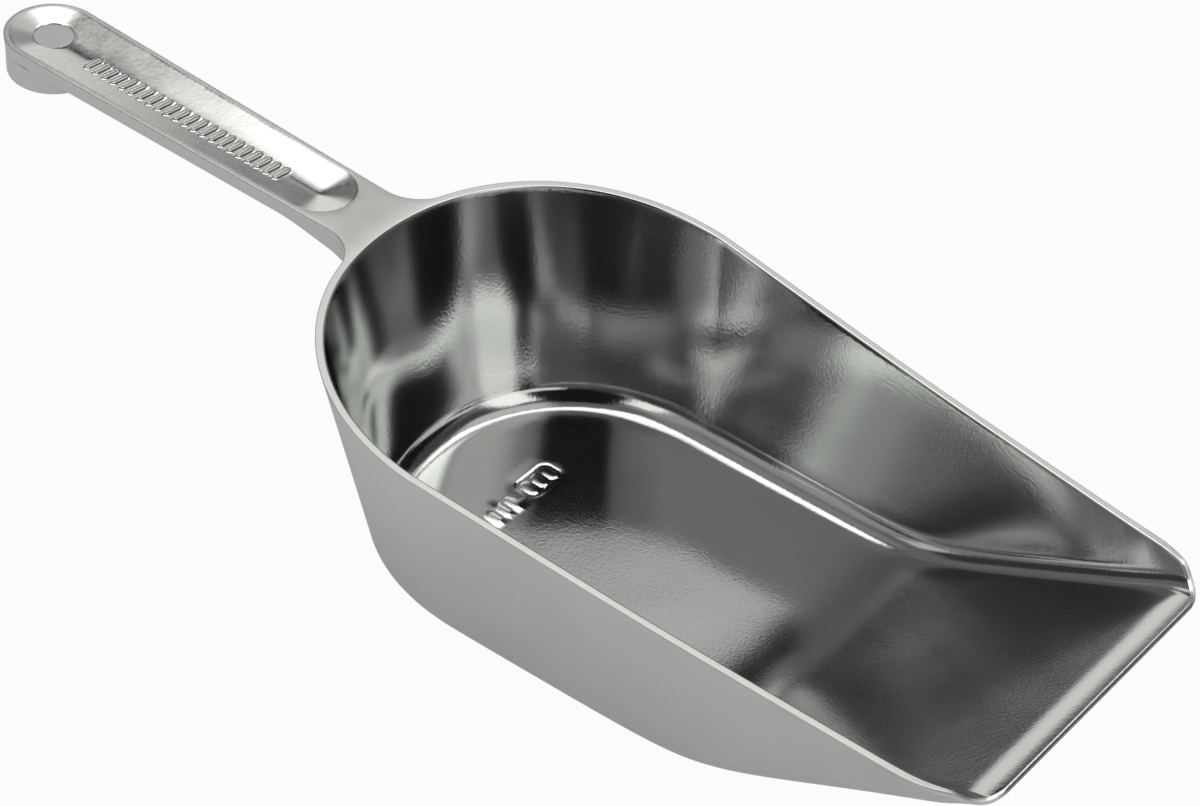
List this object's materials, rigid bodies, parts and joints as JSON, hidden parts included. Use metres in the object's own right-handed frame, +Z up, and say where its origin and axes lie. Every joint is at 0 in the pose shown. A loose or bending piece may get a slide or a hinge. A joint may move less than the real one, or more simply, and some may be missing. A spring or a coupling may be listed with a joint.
{
  "type": "ice scoop",
  "caption": "Cast aluminium ice scoop: open round-backed bowl with a ramped straight lip, flush dished grip and a round boss under the grip's end.",
  "frame": {"origin": "on the flat underside of the bowl's floor, below the centre of the rim's round back", "axes": "+X along the scoop towards the straight front lip, the grip points to -X, +Z up out of the open bowl, the scoop is symmetric about Y = 0"},
  "size_m": [0.3183, 0.1166, 0.0654],
  "materials": {
    "polished_aluminium": "polished inside, satin outside",
    "satin_aluminium": "satin, ground flat on top",
    "cast_aluminium": "tumbled casting",
    "matte_aluminium": "matte"
  },
  "bodies": {
    "root": {"bowl": "polished_aluminium", "handle": "satin_aluminium", "end_boss": "cast_aluminium", "end_pad": "matte_aluminium"}
  },
  "joints": []
}
